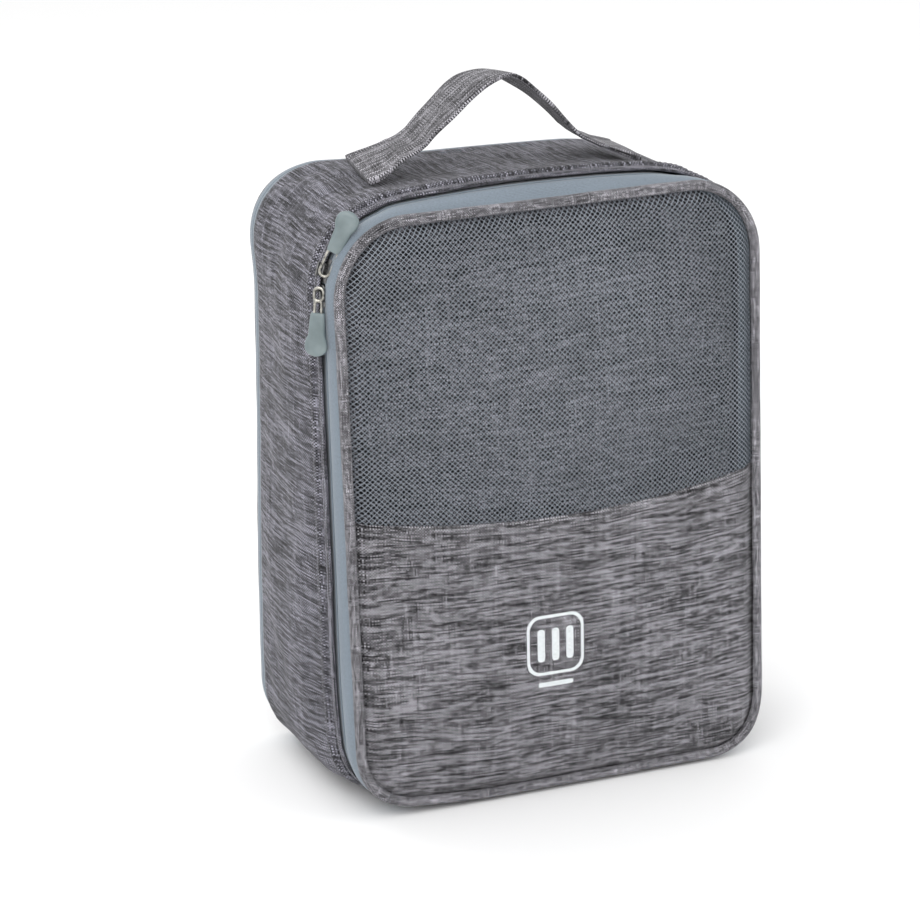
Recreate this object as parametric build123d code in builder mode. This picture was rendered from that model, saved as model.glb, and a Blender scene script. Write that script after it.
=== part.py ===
from build123d import *
import math
import os

# A soft travel bag for shoes that stands on its base. A heathered fabric gusset runs up the left
# side, over the top and down the right side. The front and the rear are flaps, each sewn to the
# base along its bottom edge and closed by a zip round its other three sides. The front flap has
# a mesh window. A fabric divider parts the two compartments, and a strap on top carries the bag.
#
# Millimetres. X runs along the width, -Y is the front, +Z is up. The origin is the centre of the
# flat base, on the surface the bag stands on. An "inset" is a depth inward from the outline of
# the bag, which is a rounded rectangle in X and Z.

os.makedirs("parts", exist_ok=True)

# ---- Driving dimensions ----
body_width = 230.0
body_height = 300.0
body_depth = 130.0
top_radius = 40.0
bottom_radius = 34.0

placket_thickness = 0.9
wall_thickness = 2.2
tape_thickness = 0.6
coil_height = 1.6
panel_thickness = 2.0
mesh_thickness = 0.8

binding_radius = 3.0
binding_inset = 4.0
mesh_bottom = 146.0

front_zip_y = -48.0
rear_zip_y = 55.0
zip_gap = 1.0
coil_width = 2.0
divider_y = -24.0

strap_width = 36.0
strap_thickness = 2.2
strap_y = 5.0
strap_end_x = 77.0
strap_kink_x = 64.2
strap_kink_radius = 8.0
strap_top_z = 349.4
strap_fold_x = 49.0
strap_fold_gap = 0.4

# ---- Depths worked out from them ----
gusset_outer = placket_thickness
gusset_inner = gusset_outer + wall_thickness
front_tape_outer = gusset_inner
rear_tape_outer = gusset_outer
base_half = body_width / 2 - bottom_radius
corner_x = body_width / 2 - top_radius
corner_z = body_height - top_radius

binding_y = body_depth / 2 - binding_radius
hinge_gap = 0.3
panel_gap = 0.05
base_edge_y = binding_y - binding_radius + hinge_gap
gusset_front = -42.5
gusset_back = 50.0
placket_front = -46.6
placket_back = -37.0


def upright(y):
    """The plane at depth y whose sketches are drawn in X and Z and grow towards the front."""
    return Plane(origin=(0, y, 0), x_dir=(1, 0, 0), z_dir=(0, -1, 0))


def rounded_frame(half, floor, top, low_round, high_round):
    """The line of a frame that is rounded by one radius at the floor and another at the top."""
    FilletPolyline(
        (-half, floor), (half, floor), (half, top), (-half, top),
        radius=[low_round, low_round, high_round, high_round],
        close=True,
    )


def outline(inset, mode=Mode.ADD):
    """The bag's outline, that many millimetres inside it."""
    with BuildLine() as edge:
        rounded_frame(
            body_width / 2 - inset, inset, body_height - inset,
            bottom_radius - inset, top_radius - inset,
        )
    make_face(edge.edges(), mode=mode)


def hoop(outer, inner):
    """A strip of the outline that is open along the flat of the base."""
    outline(outer)
    outline(inner, mode=Mode.SUBTRACT)
    Rectangle(2 * base_half, bottom_radius, mode=Mode.SUBTRACT)


# ---- Case: the walls that stay put ----
with BuildPart() as side_gusset:
    with BuildSketch(upright(gusset_back)):
        hoop(gusset_outer, gusset_inner)
    extrude(amount=gusset_back - gusset_front)
side_gusset.part.label = "side_gusset"
export_step(side_gusset.part, "parts/side_gusset.step")

with BuildPart() as base_panel:
    with BuildSketch(Plane.XY):
        Rectangle(2 * base_half, 2 * base_edge_y)
    extrude(amount=gusset_inner)
    # The front and rear edges are cut away so that the flaps' round edges can turn beside them.
    with BuildSketch(Plane.YZ.offset(-base_half)):
        with Locations((-binding_y, binding_radius), (binding_y, binding_radius)):
            Circle(binding_radius + hinge_gap)
    extrude(amount=2 * base_half, mode=Mode.SUBTRACT)
base_panel.part.label = "base_panel"
export_step(base_panel.part, "parts/base_panel.step")

with BuildPart() as divider_panel:
    with BuildSketch(upright(divider_y + panel_thickness / 2)):
        outline(gusset_inner)
    extrude(amount=panel_thickness)
divider_panel.part.label = "divider_panel"
export_step(divider_panel.part, "parts/divider_panel.step")

divider_binding_width = 8.0
divider_binding_thickness = 0.6
with BuildPart() as divider_binding:
    with BuildSketch(upright(divider_y + panel_thickness / 2 + divider_binding_width)):
        hoop(gusset_inner, gusset_inner + divider_binding_thickness)
    extrude(amount=divider_binding_width)
divider_binding.part.label = "divider_binding"
export_step(divider_binding.part, "parts/divider_binding.step")

with BuildPart() as front_placket:
    with BuildSketch(upright(placket_back)):
        hoop(0, placket_thickness)
    extrude(amount=placket_back - placket_front)
front_placket.part.label = "front_placket"
export_step(front_placket.part, "parts/front_placket.step")


# ---- Zips: the tape and the coil of each half run round the bag as hoops ----
def zip_strip(outer, thickness, back, front):
    """Draws and thickens a strip from inset outer inwards, between two depths."""
    with BuildSketch(upright(back)) as strip:
        hoop(outer, outer + thickness)
    extrude(strip.sketch, amount=back - front)


front_case_edge = front_zip_y + zip_gap / 2
front_flap_edge = front_zip_y - zip_gap / 2
rear_case_edge = rear_zip_y - zip_gap / 2
rear_flap_edge = rear_zip_y + zip_gap / 2
front_coil_outer = front_tape_outer + tape_thickness
rear_coil_outer = rear_tape_outer + tape_thickness
front_tape_end = -(binding_y - binding_radius)
rear_tape_end = binding_y - binding_radius
front_tape_back = -38.0

with BuildPart() as front_tape_case:
    zip_strip(front_tape_outer, tape_thickness, front_tape_back, front_case_edge)
front_tape_case.part.label = "front_tape_case"
export_step(front_tape_case.part, "parts/front_tape_case.step")

with BuildPart() as front_coil_case:
    zip_strip(front_coil_outer, coil_height, front_case_edge + coil_width, front_case_edge)
front_coil_case.part.label = "front_coil_case"
export_step(front_coil_case.part, "parts/front_coil_case.step")

with BuildPart() as front_tape_flap:
    zip_strip(front_tape_outer, tape_thickness, front_flap_edge, front_tape_end)
front_tape_flap.part.label = "front_tape_flap"
export_step(front_tape_flap.part, "parts/front_tape_flap.step")

with BuildPart() as front_coil_flap:
    zip_strip(front_coil_outer, coil_height, front_flap_edge, front_flap_edge - coil_width)
front_coil_flap.part.label = "front_coil_flap"
export_step(front_coil_flap.part, "parts/front_coil_flap.step")

with BuildPart() as rear_tape_case:
    zip_strip(rear_tape_outer, tape_thickness, rear_case_edge, gusset_back)
rear_tape_case.part.label = "rear_tape_case"
export_step(rear_tape_case.part, "parts/rear_tape_case.step")

with BuildPart() as rear_coil_case:
    zip_strip(rear_coil_outer, coil_height, rear_case_edge, rear_case_edge - coil_width)
rear_coil_case.part.label = "rear_coil_case"
export_step(rear_coil_case.part, "parts/rear_coil_case.step")

with BuildPart() as rear_tape_flap:
    zip_strip(rear_tape_outer, tape_thickness, rear_tape_end, rear_flap_edge)
rear_tape_flap.part.label = "rear_tape_flap"
export_step(rear_tape_flap.part, "parts/rear_tape_flap.step")

with BuildPart() as rear_coil_flap:
    zip_strip(rear_coil_outer, coil_height, rear_flap_edge + coil_width, rear_flap_edge)
rear_coil_flap.part.label = "rear_coil_flap"
export_step(rear_coil_flap.part, "parts/rear_coil_flap.step")

# A metal stop is crimped on the case side of each zip at both of its ends, beside the base.
stop_length = 5.0
stop_height = 0.8
with BuildPart() as zip_end_stops:
    for stop_back, coil_outer in (
        (front_case_edge + coil_width, front_coil_outer),
        (rear_case_edge, rear_coil_outer),
    ):
        stop_outer = coil_outer + coil_height
        with BuildSketch(upright(stop_back)) as stop_pair:
            hoop(stop_outer, stop_outer + stop_height)
            Rectangle(2 * (base_half + stop_length), bottom_radius, mode=Mode.INTERSECT)
        extrude(stop_pair.sketch, amount=coil_width)
zip_end_stops.part.label = "zip_end_stops"
export_step(zip_end_stops.part, "parts/zip_end_stops.step")


# ---- Flaps ----
def flap_frame(inset):
    """The line of the flaps' binding, or of a frame that many millimetres inside it."""
    rounded_frame(
        body_width / 2 - binding_inset - inset,
        binding_radius + inset,
        body_height - binding_inset - inset,
        bottom_radius - binding_radius - inset,
        top_radius - binding_inset - inset,
    )


def edge_binding(y):
    """The round piping along a flap's whole edge. Its bottom run lies on the hinge line."""
    with BuildLine(upright(y)) as run:
        flap_frame(0)
    start = Plane(origin=run.wire() @ 0, z_dir=run.wire() % 0)
    with BuildSketch(start) as round_section:
        Circle(binding_radius)
    sweep(round_section.sketch, path=run.wire())


def flap_panel(low, high):
    """Draws the part of a flap's panel between two heights, inside its binding."""
    with BuildLine() as edge:
        flap_frame(binding_radius + panel_gap)
    make_face(edge.edges())
    with Locations((0, (low + high) / 2)):
        Rectangle(body_width, high - low, mode=Mode.INTERSECT)


with BuildPart() as front_lower_panel:
    with BuildSketch(upright(-binding_y)):
        flap_panel(0, mesh_bottom)
    extrude(amount=panel_thickness)
front_lower_panel.part.label = "front_lower_panel"
export_step(front_lower_panel.part, "parts/front_lower_panel.step")

with BuildPart() as front_mesh_window:
    with BuildSketch(upright(-binding_y - (panel_thickness - mesh_thickness) / 2)):
        flap_panel(mesh_bottom, body_height)
    extrude(amount=mesh_thickness)
front_mesh_window.part.label = "front_mesh_window"
export_step(front_mesh_window.part, "parts/front_mesh_window.step")

with BuildPart() as front_binding:
    edge_binding(-binding_y)
front_binding.part.label = "front_binding"
export_step(front_binding.part, "parts/front_binding.step")

# The print on the front panel is a plain rounded ring holding three upright bars, over one bar.
mark_x = -8.5
mark_z = 81.5
mark_size = 31.0
mark_corner = 7.0
mark_line = 1.5
mark_ink = 0.15
bar_width = 4.0
bar_height = 17.0
bar_step = 7.8
bar_round = 1.9
underline_width = 19.0
underline_height = 2.4
underline_round = 1.1
underline_drop = 20.5
with BuildPart() as printed_mark:
    with BuildSketch(upright(-binding_y - panel_thickness)):
        with Locations((mark_x, mark_z)):
            RectangleRounded(mark_size, mark_size, mark_corner)
            mark_inside = mark_size - 2 * mark_line
            RectangleRounded(mark_inside, mark_inside, mark_corner - mark_line, mode=Mode.SUBTRACT)
            with GridLocations(bar_step, 0, 3, 1):
                RectangleRounded(bar_width, bar_height, bar_round)
        with Locations((mark_x, mark_z - underline_drop)):
            RectangleRounded(underline_width, underline_height, underline_round)
    extrude(amount=mark_ink)
printed_mark.part.label = "printed_mark"
export_step(printed_mark.part, "parts/printed_mark.step")

with BuildPart() as rear_panel:
    with BuildSketch(upright(binding_y + panel_thickness)):
        flap_panel(0, body_height)
    extrude(amount=panel_thickness)
rear_panel.part.label = "rear_panel"
export_step(rear_panel.part, "parts/rear_panel.step")

with BuildPart() as rear_binding:
    edge_binding(binding_y)
rear_binding.part.label = "rear_binding"
export_step(rear_binding.part, "parts/rear_binding.step")


# ---- Handle: one strap, sewn flat at both ends, that folds over just above them ----
def strap_profile():
    """The strap seen from the front: flat, up at 45 degrees, over the crest and down again."""
    foot_z = body_height - gusset_outer + strap_thickness / 2
    peak_z = foot_z + strap_kink_x
    # The radius that rounds the right-angled peak down to the strap's true top.
    crest_radius = (peak_z - strap_top_z) / (math.sqrt(2) - 1)
    with BuildLine() as centre:
        FilletPolyline(
            (-strap_end_x, foot_z), (-strap_kink_x, foot_z), (0, peak_z),
            (strap_kink_x, foot_z), (strap_end_x, foot_z),
            radius=[strap_kink_radius, crest_radius, strap_kink_radius],
        )
    trace(centre.edges(), line_width=strap_thickness)


with BuildPart() as carry_strap:
    with BuildSketch(upright(strap_y + strap_width / 2)):
        strap_profile()
        with Locations((0, body_height)):
            Rectangle(2 * strap_fold_x - strap_fold_gap, body_height, mode=Mode.INTERSECT)
    extrude(amount=strap_width)
carry_strap.part.label = "carry_strap"
export_step(carry_strap.part, "parts/carry_strap.step")

for side, name in ((-1, "strap_end_left"), (1, "strap_end_right")):
    with BuildPart() as strap_end:
        with BuildSketch(upright(strap_y + strap_width / 2)):
            strap_profile()
            with Locations((side * (strap_fold_x + body_width / 2), body_height)):
                Rectangle(body_width, body_height, mode=Mode.INTERSECT)
        extrude(amount=strap_width)
    strap_end.part.label = name
    export_step(strap_end.part, f"parts/{name}.step")

# ---- Zip sliders ----
slider_width = 8.0
slider_length = 10.6
slider_corner = 2.0
slider_plate = 1.4
slider_clearance = 0.4
slider_coil_clearance = 0.8
slider_post = 0.6
slider_post_length = 3.0
bail_width = 1.6
bail_length = 6.4
bail_leg = 1.0
bail_roof = 0.9
bail_sink = 0.3
pull_hole = 1.1
coil_depth = tape_thickness + coil_height


def slider(plane, pivot_height, post_end):
    """A straight slider on a plane whose X runs along the zip, and whose Z is the bag's depth.

    Height 0 is the outer face of the tape. The two plates lie over and under the zip, a post
    joins them between the coils, and the bail that holds the pull stands on the upper plate.
    """
    plate_top = slider_clearance + slider_plate
    plate_low = -coil_depth - slider_coil_clearance - slider_plate
    post_x = post_end * (slider_length - slider_post_length) / 2
    with BuildSketch(plane.offset(-slider_width / 2)) as plates:
        for low, high in ((plate_low, plate_low + slider_plate), (slider_clearance, plate_top)):
            with Locations((0, (low + high) / 2)):
                Rectangle(slider_length, high - low)
    extrude(plates.sketch, amount=slider_width)
    fillet(edges().filter_by(Axis(plane.origin, plane.y_dir)), slider_corner)
    with BuildSketch(plane.offset(-slider_post / 2)) as post:
        with Locations((post_x, (plate_low + plate_top) / 2)):
            Rectangle(slider_post_length, plate_top - plate_low)
    extrude(post.sketch, amount=slider_post)
    pivot = plate_top + pivot_height
    roof = pivot + pull_hole + bail_roof
    with BuildSketch(plane.offset(-bail_width / 2)) as bail:
        with Locations((0, (plate_top + roof) / 2)):
            Rectangle(bail_length, roof - plate_top)
        with Locations((0, pivot)):
            Rectangle(bail_length - 2 * bail_leg, 2 * pull_hole, mode=Mode.SUBTRACT)
    extrude(bail.sketch, amount=bail_width)


front_pivot_height = 2.2
rear_pivot_height = 1.4
front_slider_top = front_tape_outer - slider_clearance - slider_plate
rear_slider_top = rear_tape_outer - slider_clearance - slider_plate
front_pivot_inset = front_slider_top - front_pivot_height
rear_pivot_inset = rear_slider_top - rear_pivot_height

# The lower front slider stands nose to nose with the upper one just under the top left corner.
lower_slider_z = 260.0
lower_zip = Plane(
    origin=(-body_width / 2 + front_tape_outer, front_zip_y, lower_slider_z),
    x_dir=(0, 0, -1), z_dir=(0, 1, 0),
)
with BuildPart() as lower_slider:
    slider(lower_zip, front_pivot_height, post_end=-1)
lower_slider.part.label = "lower_slider"
export_step(lower_slider.part, "parts/lower_slider.step")

# The rear slider is at the end of its zip, low on the right side.
rear_slider_z = 48.0
rear_zip = Plane(
    origin=(body_width / 2 - rear_tape_outer, rear_zip_y, rear_slider_z),
    x_dir=(0, 0, -1), z_dir=(0, -1, 0),
)
with BuildPart() as rear_slider:
    slider(rear_zip, rear_pivot_height, post_end=1)
rear_slider.part.label = "rear_slider"
export_step(rear_slider.part, "parts/rear_slider.step")

# The upper front slider rides round the top left corner, so its plates are curved like it.
upper_slider_angle = 17.8
corner_tape_radius = top_radius - front_tape_outer
upper_half_angle = math.degrees(slider_length / 2 / corner_tape_radius)


def ring_sector(low, high, middle, half_angle):
    """Draws a stretch of ring about the corner's centre, from radius low to high."""
    start, size = 180 - middle - half_angle, 2 * half_angle
    with BuildLine() as edge:
        outer = CenterArc((-corner_x, corner_z), high, start, size)
        inner = CenterArc((-corner_x, corner_z), low, start, size)
        Line(outer @ 0, inner @ 0)
        Line(outer @ 1, inner @ 1)
    make_face(edge.edges())


with BuildPart() as upper_slider:
    top_plate_low = corner_tape_radius + slider_clearance
    top_plate_high = top_plate_low + slider_plate
    low_plate_high = corner_tape_radius - coil_depth - slider_clearance
    low_plate_low = low_plate_high - slider_plate
    with BuildSketch(upright(front_zip_y + slider_width / 2)):
        ring_sector(low_plate_low, low_plate_high, upper_slider_angle, upper_half_angle)
        ring_sector(top_plate_low, top_plate_high, upper_slider_angle, upper_half_angle)
    extrude(amount=slider_width)
    post_half_angle = math.degrees(slider_post_length / 2 / corner_tape_radius)
    with BuildSketch(upright(front_zip_y + slider_post / 2)):
        ring_sector(
            low_plate_low, top_plate_high,
            upper_slider_angle - upper_half_angle + post_half_angle, post_half_angle,
        )
    extrude(amount=slider_post)
    outward = (-math.cos(math.radians(upper_slider_angle)), 0, math.sin(math.radians(upper_slider_angle)))
    along = (math.sin(math.radians(upper_slider_angle)), 0, math.cos(math.radians(upper_slider_angle)))
    corner_centre = Vector(-corner_x, front_zip_y, corner_z)
    bail_plane = Plane(
        origin=corner_centre + Vector(outward) * top_plate_high,
        x_dir=along, z_dir=(0, -1, 0),
    )
    # The foot of the bail sinks into the curved plate.
    roof_height = front_pivot_height + pull_hole + bail_roof
    with BuildSketch(bail_plane.offset(-bail_width / 2)):
        with Locations((0, (roof_height - bail_sink) / 2)):
            Rectangle(bail_length, roof_height + bail_sink)
        with Locations((0, front_pivot_height)):
            Rectangle(bail_length - 2 * bail_leg, 2 * pull_hole, mode=Mode.SUBTRACT)
    extrude(amount=bail_width)
upper_slider.part.label = "upper_slider"
export_step(upper_slider.part, "parts/upper_slider.step")

# ---- Pulls: a wire loop through the bail, moulded into a rubber grip ----
loop_wire = 1.2
loop_round = 0.48
loop_width = 6.4
loop_length = 15.2
grip_start = 12.0
grip_end = 33.5
grip_thickness = 3.0
grip_lift = 0.8
grip_neck_width = 6.6
grip_tip_width = 10.5
grip_shoulder = 19.0
grip_tip_start = 22.0
grip_start_radius = 1.0
grip_shoulder_radius = 1.5
grip_tip_radius = 5.2
grip_edge_radius = 0.7


def flat_edges(plane):
    """The part's edges that lie flat in the plane, not those across it."""
    return edges().filter_by(lambda e: abs((e % 0.5).dot(plane.z_dir)) < 0.1)


def pull_loop(plane):
    """The wire loop, flat on its plane, with its near bar on the plane's origin."""
    with BuildSketch(plane.offset(-loop_wire / 2)) as ring:
        with Locations(((loop_length - loop_wire) / 2, 0)):
            SlotOverall(loop_length, loop_width)
            SlotOverall(loop_length - 2 * loop_wire, loop_width - 2 * loop_wire, mode=Mode.SUBTRACT)
    extrude(ring.sketch, amount=loop_wire)
    fillet(flat_edges(plane), loop_round)


def pull_grip(plane, loop):
    """The rubber grip: a narrow neck over the loop's end that widens to a round tip."""
    with BuildSketch(plane.offset(grip_lift - grip_thickness / 2)) as tab:
        with BuildLine() as edge:
            neck = grip_neck_width / 2
            tip = grip_tip_width / 2
            FilletPolyline(
                (grip_start, -neck), (grip_shoulder, -neck), (grip_tip_start, -tip),
                (grip_end, -tip), (grip_end, tip), (grip_tip_start, tip),
                (grip_shoulder, neck), (grip_start, neck),
                radius=[
                    grip_shoulder_radius, grip_shoulder_radius, grip_tip_radius, grip_tip_radius,
                    grip_shoulder_radius, grip_shoulder_radius, grip_start_radius, grip_start_radius,
                ],
                close=True,
            )
        make_face(edge.edges())
    extrude(tab.sketch, amount=grip_thickness)
    fillet(flat_edges(plane), grip_edge_radius)
    add(loop, mode=Mode.SUBTRACT)


lower_pull_plane = Plane(
    origin=(-body_width / 2 + front_pivot_inset, front_zip_y, lower_slider_z),
    x_dir=(0, 0, -1), z_dir=(-1, 0, 0),
)
rear_pull_plane = Plane(
    origin=(body_width / 2 - rear_pivot_inset, rear_zip_y, rear_slider_z),
    x_dir=(0, 0, -1), z_dir=(1, 0, 0),
)
# The upper pull lies back against the corner, a little further over than its slider.
upper_pull_lean = 23.0
lean = math.radians(upper_pull_lean)
upper_pivot = corner_centre + Vector(outward) * (top_radius - front_pivot_inset)
upper_pull_plane = Plane(
    origin=upper_pivot,
    x_dir=(math.sin(lean), 0, math.cos(lean)),
    z_dir=(-math.cos(lean), 0, math.sin(lean)),
)

for name, plane in (
    ("lower_pull", lower_pull_plane),
    ("upper_pull", upper_pull_plane),
    ("rear_pull", rear_pull_plane),
):
    with BuildPart() as loop:
        pull_loop(plane)
    loop.part.label = f"{name}_loop"
    export_step(loop.part, f"parts/{name}_loop.step")

    with BuildPart() as grip:
        pull_grip(plane, loop.part)
    grip.part.label = f"{name}_grip"
    export_step(grip.part, f"parts/{name}_grip.step")
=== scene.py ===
import math

import bmesh
import bpy
import numpy as np
from mathutils import Matrix, Vector


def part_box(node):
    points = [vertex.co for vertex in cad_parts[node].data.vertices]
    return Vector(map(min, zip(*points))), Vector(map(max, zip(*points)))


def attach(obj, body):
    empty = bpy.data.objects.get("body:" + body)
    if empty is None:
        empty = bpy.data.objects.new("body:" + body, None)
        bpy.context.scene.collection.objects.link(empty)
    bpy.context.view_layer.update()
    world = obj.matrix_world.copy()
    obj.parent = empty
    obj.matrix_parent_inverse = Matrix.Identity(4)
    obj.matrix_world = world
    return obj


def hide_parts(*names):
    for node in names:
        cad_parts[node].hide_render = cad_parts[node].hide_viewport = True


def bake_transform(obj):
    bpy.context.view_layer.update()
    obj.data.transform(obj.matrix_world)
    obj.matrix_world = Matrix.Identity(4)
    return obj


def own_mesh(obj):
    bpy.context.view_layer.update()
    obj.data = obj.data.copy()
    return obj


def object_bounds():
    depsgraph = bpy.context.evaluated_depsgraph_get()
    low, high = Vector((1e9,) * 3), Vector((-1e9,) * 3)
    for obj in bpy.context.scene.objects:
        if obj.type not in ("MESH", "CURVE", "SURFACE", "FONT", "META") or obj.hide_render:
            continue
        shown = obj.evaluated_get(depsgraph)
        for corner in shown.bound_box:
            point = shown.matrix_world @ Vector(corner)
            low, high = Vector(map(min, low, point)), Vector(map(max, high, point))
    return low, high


# The looks of a soft travel bag for shoes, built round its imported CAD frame. Metres, Z up, the
# front towards -Y. Fabric coordinates (along the weft, across it) are kept in a "cloth" attribute.

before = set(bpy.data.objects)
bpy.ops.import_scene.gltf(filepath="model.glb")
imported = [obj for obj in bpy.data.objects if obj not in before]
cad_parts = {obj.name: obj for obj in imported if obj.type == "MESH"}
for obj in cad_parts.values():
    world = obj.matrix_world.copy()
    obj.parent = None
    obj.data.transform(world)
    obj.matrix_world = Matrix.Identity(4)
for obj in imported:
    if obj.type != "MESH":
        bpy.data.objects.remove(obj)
cad_low, cad_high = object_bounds()
MM = 0.001


# ---- Sizes read from the frame ----
case_low, case_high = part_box("front_placket")
gusset_low, gusset_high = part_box("side_gusset")
binding_low, binding_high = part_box("front_binding")
rear_binding_low, rear_binding_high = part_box("rear_binding")
panel_low, panel_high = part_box("front_lower_panel")
rear_panel_low, rear_panel_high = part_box("rear_panel")
net_low, net_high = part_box("front_mesh_window")
rear_case_tape_low, rear_case_tape_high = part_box("rear_tape_case")
divider_low, divider_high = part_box("divider_panel")
trim_low, trim_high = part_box("divider_binding")
base_low, base_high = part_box("base_panel")
mark_low, mark_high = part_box("printed_mark")
strap_low, strap_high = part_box("carry_strap")
left_end_low, left_end_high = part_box("strap_end_left")
right_end_low, right_end_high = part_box("strap_end_right")

half_width = case_high.x
height = case_high.z
round_top = 40 * MM
round_bottom = 34 * MM
# The skins are sewn along the middle of their bindings, inside the bag's outline.
skin_round_top = 33 * MM
skin_round_bottom = 28 * MM


# ---- The bag's outline, from the base up the left side, over the top and down the right ----
def outline(inset=0.0, spacing=3 * MM, closed=False):
    """Points, outward normals and lengths along the outline, a given depth inside it."""
    low_x, high_x = half_width - round_bottom, half_width - round_top
    runs = [
        ((-low_x, round_bottom), round_bottom, 270, 180),
        ((-high_x, height - round_top), round_top, 180, 90),
        ((high_x, height - round_top), round_top, 90, 0),
        ((low_x, round_bottom), round_bottom, 0, -90),
    ]
    points, normals = [], []
    for (cx, cz), radius, start, end in runs:
        steps = max(6, int(math.radians(90) * radius / spacing))
        for i in range(steps + 1):
            a = math.radians(start + (end - start) * i / steps)
            n = np.array([math.cos(a), math.sin(a)])
            points.append(np.array([cx, cz]) + n * radius)
            normals.append(n)
    path_p, path_n = [points[0]], [normals[0]]
    if closed:
        points.append(points[0])
        normals.append(normals[0])
    for i in range(1, len(points)):
        gap = np.linalg.norm(points[i] - points[i - 1])
        steps = max(1, int(round(gap / spacing)))
        for k in range(1, steps + 1):
            t = k / steps
            path_p.append(points[i - 1] * (1 - t) + points[i] * t)
            n = normals[i - 1] * (1 - t) + normals[i] * t
            path_n.append(unit(n))
    p, n = np.array(path_p), np.array(path_n)
    if closed:
        p, n = p[:-1], n[:-1]
    return p - n * inset, n, distances(p)


def unit(vectors):
    return vectors / np.linalg.norm(vectors, axis=-1, keepdims=True)


def distances(points):
    """The length along a line up to each of its points."""
    return np.concatenate([[0], np.cumsum(np.linalg.norm(np.diff(points, axis=0), axis=1))])


def xyz(x, y, z):
    """Points from their coordinates, each an array or one number."""
    return np.stack(np.broadcast_arrays(x, y, z), axis=-1)


def bump(x, width):
    """1 at x = 0, falling smoothly to 0 at +-width."""
    t = np.clip(1 - np.abs(x) / width, 0, 1)
    return t * t * (3 - 2 * t)


def ramp(x, start, end):
    """0 before start, 1 after end, smooth in between."""
    t = np.clip((x - start) / (end - start), 0, 1)
    return t * t * (3 - 2 * t)


def crown(x, y):
    """How far the soft top of the bag stands above its outline: most in its middle."""
    across = ramp(y, binding_high.y, case_low.y)
    rear = 1 - 0.75 * ramp(y, 20 * MM, rear_case_tape_high.y)
    return 5.2 * MM * np.clip(1 - (x / (0.74 * half_width)) ** 2, 0, 1) ** 0.75 * across * rear


def settled(points):
    """The bag's stance: its front face is a little narrower than its walls and leans to the left."""
    points = np.array(points, float)
    x, y, z = points[..., 0], points[..., 1], points[..., 2]
    flap = 1 - ramp(y, binding_high.y - 0.5 * MM, case_low.y + 1.5 * MM)
    front = 0.45 * flap + 0.55 * (1 - ramp(y, case_low.y + 1.5 * MM, 0.3 * case_low.y))
    rear = ramp(y, 0.5 * case_low.y, 0.5 * rear_case_tape_high.y)
    tall = np.clip(z / height, 0, 1.2)
    side = x / half_width
    lean = -0.0212 * (z - 0.23 * height)
    narrow = 0.040 * x * (0.35 + 0.65 * ramp(z, 0.0, 0.1 * height))
    waist = 0.034 * x * ramp(tall, 0.15, 0.85)
    # The rear of the top stands fuller on the left and drops away on the right.
    high = ramp(tall, 0.80, 0.95)
    full = ramp(-side, 0.45, 0.9) * high * rear
    drop = ramp(side, 0.48, 0.85) * high * (1 - flap)
    # The lower left front corner is drawn up off the floor.
    drawn = ramp(-side, 0.3, 0.9) * (1 - ramp(tall, 0.02, 0.25))
    drawn = drawn * (1 - ramp(y, case_low.y, 0.25 * case_low.y))
    moved = points.copy()
    moved[..., 0] = x + front * (lean - narrow) - rear * waist - 3.0 * MM * full - 2.0 * MM * drop
    moved[..., 0] += 1.2 * MM * flap * ramp(side, 0.3, 1) + 2.4 * MM * drawn * (1 - flap)
    moved[..., 2] = z + front * 0.018 * x * tall + 2.4 * MM * full - 3.3 * MM * drop + 3.4 * MM * drawn
    return moved


# ---- Mesh making ----
def collection_link(obj):
    bpy.context.scene.collection.objects.link(obj)
    return obj


def turn_outward(mesh):
    """Turns every face of a closed mesh to look out of it."""
    work = bmesh.new()
    work.from_mesh(mesh)
    bmesh.ops.recalc_face_normals(work, faces=work.faces[:])
    work.to_mesh(mesh)
    work.free()


def mesh_piece(name, points, faces, cloth, material, soft=True, closed=True):
    """A piece with a material and, where it is cloth, its flat coordinates. A soft one is settled."""
    mesh = bpy.data.meshes.new(name)
    if soft:
        points = settled(points)
    mesh.from_pydata([tuple(p) for p in points], [], [tuple(int(i) for i in f) for f in faces])
    if cloth is not None:
        attribute = mesh.attributes.new("cloth", "FLOAT_VECTOR", "POINT")
        flat = np.zeros((len(points), 3), np.float32)
        flat[:, : cloth.shape[1]] = cloth
        attribute.data.foreach_set("vector", flat.ravel())
    if closed:
        turn_outward(mesh)
    mesh.polygons.foreach_set("use_smooth", [True] * len(mesh.polygons))
    mesh.update()
    mesh.materials.append(material)
    return collection_link(bpy.data.objects.new(name, mesh))


def stands_for(obj, body, nodes):
    """Rides a piece on its body, in the place of CAD nodes, which are hidden."""
    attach(obj, body)
    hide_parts(*nodes)
    return obj


def grid_faces(rows, columns, wrap_rows=False, wrap_columns=False):
    i, j = np.meshgrid(
        np.arange(rows if wrap_rows else rows - 1),
        np.arange(columns if wrap_columns else columns - 1), indexing="ij",
    )
    i2, j2 = (i + 1) % rows, (j + 1) % columns
    return np.stack(
        [i * columns + j, i * columns + j2, i2 * columns + j2, i2 * columns + j], axis=-1
    ).reshape(-1, 4)


def sweep(name, rings, cloth, material, closed_path=False, closed_section=True):
    """A section carried along a path. rings is (stations, section points, 3)."""
    stations, around = rings.shape[:2]
    faces = [tuple(f) for f in grid_faces(stations, around, closed_path, closed_section)]
    points = rings.reshape(-1, 3)
    marks = cloth.reshape(-1, cloth.shape[-1])
    if not closed_path:
        faces.append(tuple(range(around)))
        faces.append(tuple((stations - 1) * around + k for k in reversed(range(around))))
    return mesh_piece(name, points, faces, marks, material)


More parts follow.
